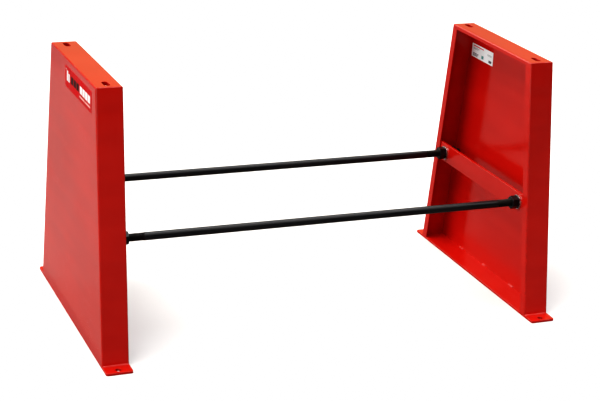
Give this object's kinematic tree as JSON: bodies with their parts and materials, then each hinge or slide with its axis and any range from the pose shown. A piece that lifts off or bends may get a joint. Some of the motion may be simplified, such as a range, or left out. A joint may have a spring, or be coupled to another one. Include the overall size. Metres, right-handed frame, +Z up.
{
  "type": "machine stand",
  "caption": "Floor stand of tapered sheet-steel pedestals with slotted tops and floor tabs, held apart by threaded tie bars with nuts and washers.",
  "frame": {"origin": "on the floor, at the centre of the stand's outline seen from above", "axes": "+X along the tie bars towards the pedestal with the inside label, -Y the front, +Z up"},
  "size_m": [1.1755, 0.676, 0.65],
  "materials": {
    "red_coat": "glossy signal-red powder coat",
    "black_bar": "satin black oiled steel bar",
    "black_nut": "black-oxide steel",
    "zinc_washer": "bright zinc plate",
    "red_label": "satin vinyl with plain blocks and no lettering",
    "white_label": "satin vinyl with plain bars and no lettering"
  },
  "bodies": {
    "tie_bars": {"front_tie_bar": "black_bar", "rear_tie_bar": "black_bar"},
    "left_pedestal": {"left_pedestal_shell": "red_coat", "left_backing_bar": "red_coat", "left_base_plate": "red_coat", "left_cross_rib": "red_coat", "left_front_inner_washer": "zinc_washer", "left_front_outer_washer": "zinc_washer", "left_rear_inner_washer": "zinc_washer", "left_rear_outer_washer": "zinc_washer", "left_outer_label": "red_label"},
    "right_pedestal": {"right_pedestal_shell": "red_coat", "right_backing_bar": "red_coat", "right_base_plate": "red_coat", "right_cross_rib": "red_coat", "right_front_inner_washer": "zinc_washer", "right_front_outer_washer": "zinc_washer", "right_rear_inner_washer": "zinc_washer", "right_rear_outer_washer": "zinc_washer", "right_inner_label": "white_label"},
    "left_front_inner_nut": {"left_front_inner_nut": "black_nut"},
    "left_front_outer_nut": {"left_front_outer_nut": "black_nut"},
    "left_rear_inner_nut": {"left_rear_inner_nut": "black_nut"},
    "left_rear_outer_nut": {"left_rear_outer_nut": "black_nut"},
    "right_front_inner_nut": {"right_front_inner_nut": "black_nut"},
    "right_front_outer_nut": {"right_front_outer_nut": "black_nut"},
    "right_rear_inner_nut": {"right_rear_inner_nut": "black_nut"},
    "right_rear_outer_nut": {"right_rear_outer_nut": "black_nut"}
  },
  "joints": [
    {"name": "left_spacing", "type": "slide", "parent": "tie_bars", "child": "left_pedestal", "axis": [-1, 0, 0], "range_m": [-0.012, 0.014]},
    {"name": "right_spacing", "type": "slide", "parent": "tie_bars", "child": "right_pedestal", "axis": [1, 0, 0], "range_m": [-0.012, 0.014]},
    {"name": "left_front_inner_nut_turn", "type": "hinge", "parent": "left_pedestal", "child": "left_front_inner_nut", "pos_m": [-0.5132, -0.207, 0.2825], "axis": [-1, 0, 0], "range_deg": [-1729, 2017]},
    {"name": "left_front_outer_nut_turn", "type": "hinge", "parent": "left_pedestal", "child": "left_front_outer_nut", "pos_m": [-0.5464, -0.207, 0.2825], "axis": [-1, 0, 0], "range_deg": [-1729, 2017]},
    {"name": "left_rear_inner_nut_turn", "type": "hinge", "parent": "left_pedestal", "child": "left_rear_inner_nut", "pos_m": [-0.5132, 0.207, 0.2825], "axis": [-1, 0, 0], "range_deg": [-1729, 2017]},
    {"name": "left_rear_outer_nut_turn", "type": "hinge", "parent": "left_pedestal", "child": "left_rear_outer_nut", "pos_m": [-0.5464, 0.207, 0.2825], "axis": [-1, 0, 0], "range_deg": [-1729, 2017]},
    {"name": "right_front_inner_nut_turn", "type": "hinge", "parent": "right_pedestal", "child": "right_front_inner_nut", "pos_m": [0.5132, -0.207, 0.2825], "axis": [1, 0, 0], "range_deg": [-1729, 2017]},
    {"name": "right_front_outer_nut_turn", "type": "hinge", "parent": "right_pedestal", "child": "right_front_outer_nut", "pos_m": [0.5464, -0.207, 0.2825], "axis": [1, 0, 0], "range_deg": [-1729, 2017]},
    {"name": "right_rear_inner_nut_turn", "type": "hinge", "parent": "right_pedestal", "child": "right_rear_inner_nut", "pos_m": [0.5132, 0.207, 0.2825], "axis": [1, 0, 0], "range_deg": [-1729, 2017]},
    {"name": "right_rear_outer_nut_turn", "type": "hinge", "parent": "right_pedestal", "child": "right_rear_outer_nut", "pos_m": [0.5464, 0.207, 0.2825], "axis": [1, 0, 0], "range_deg": [-1729, 2017]}
  ],
  "couplings": [
    {"joint": "left_front_inner_nut_turn", "follows": "left_spacing", "rad_per_m": 2513.3},
    {"joint": "left_front_outer_nut_turn", "follows": "left_spacing", "rad_per_m": 2513.3},
    {"joint": "left_rear_inner_nut_turn", "follows": "left_spacing", "rad_per_m": 2513.3},
    {"joint": "left_rear_outer_nut_turn", "follows": "left_spacing", "rad_per_m": 2513.3},
    {"joint": "right_front_inner_nut_turn", "follows": "right_spacing", "rad_per_m": 2513.3},
    {"joint": "right_front_outer_nut_turn", "follows": "right_spacing", "rad_per_m": 2513.3},
    {"joint": "right_rear_inner_nut_turn", "follows": "right_spacing", "rad_per_m": 2513.3},
    {"joint": "right_rear_outer_nut_turn", "follows": "right_spacing", "rad_per_m": 2513.3}
  ]
}
